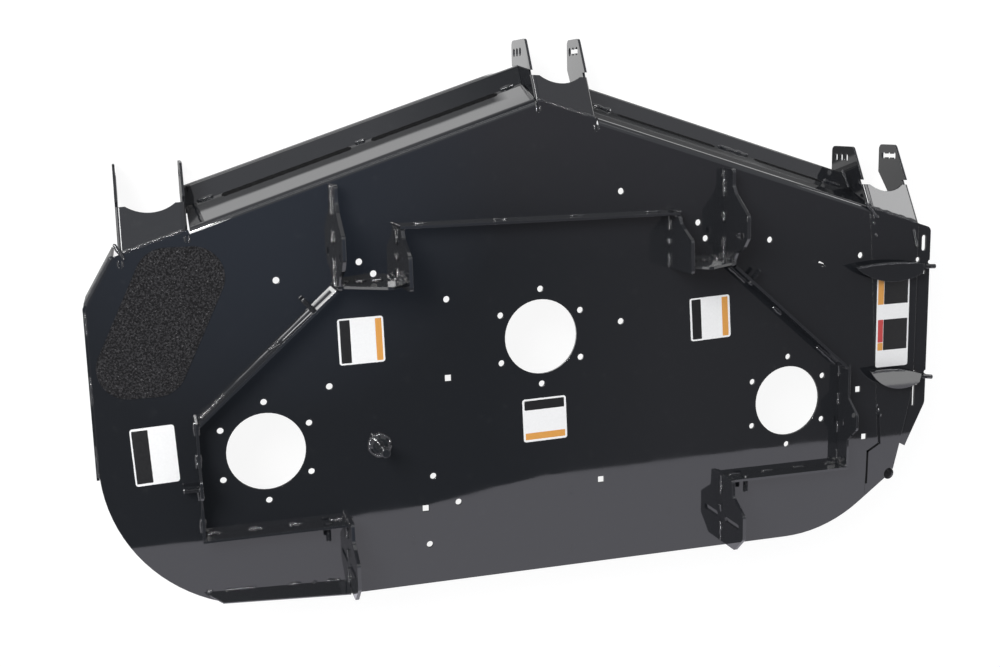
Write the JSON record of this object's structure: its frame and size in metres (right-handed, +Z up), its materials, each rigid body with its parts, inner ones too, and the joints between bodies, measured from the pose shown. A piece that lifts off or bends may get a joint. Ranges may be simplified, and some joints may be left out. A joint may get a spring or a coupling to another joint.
{
  "type": "lawn mower deck",
  "caption": "Welded side-discharge cutting deck shell with spindle seats, lift hangers, stiffening ribs and slotted anti-scalp brackets.",
  "frame": {"origin": "centre spindle axis on the top face of the deck plate", "axes": "+X to the discharge side, +Y to the front nose, +Z up out of the plate"},
  "size_m": [1.6305, 0.9897, 0.25],
  "materials": {
    "black_coat": "gloss",
    "grip_pad": "grit",
    "label_machine": "satin",
    "label_center": "satin",
    "label_side": "satin",
    "label_discharge": "satin"
  },
  "bodies": {
    "root": {"deck_plate": "black_coat", "discharge_plate": "black_coat", "discharge_lip": "black_coat", "rear_skirt": "black_coat", "skirt_end_bar": "black_coat", "left_side_wall": "black_coat", "front_channel_left": "black_coat", "front_channel_right": "black_coat", "anti_scalp_bracket_left": "black_coat", "anti_scalp_bracket_center": "black_coat", "anti_scalp_bracket_right": "black_coat", "front_hanger_outer_left": "black_coat", "front_hanger_outer_right": "black_coat", "front_hanger_inner_left": "black_coat", "front_hanger_inner_right": "black_coat", "hanger_tie_left": "black_coat", "hanger_tie_right": "black_coat", "rear_hanger_left": "black_coat", "rear_hanger_right": "black_coat", "front_cross_rib": "black_coat", "diagonal_rib_left": "black_coat", "diagonal_rib_right": "black_coat", "side_rib_left": "black_coat", "side_rib_right": "black_coat", "rear_rib_left": "black_coat", "rear_rib_right": "black_coat", "rear_flange": "black_coat", "cover_studs": "black_coat", "idler_post": "black_coat", "chute_bracket_front": "black_coat", "chute_bracket_rear": "black_coat", "front_baffle": "black_coat", "grip_pad": "grip_pad", "label_left": "label_machine", "label_right": "label_machine", "label_center": "label_center", "label_side": "label_side", "label_discharge": "label_discharge"}
  },
  "joints": []
}
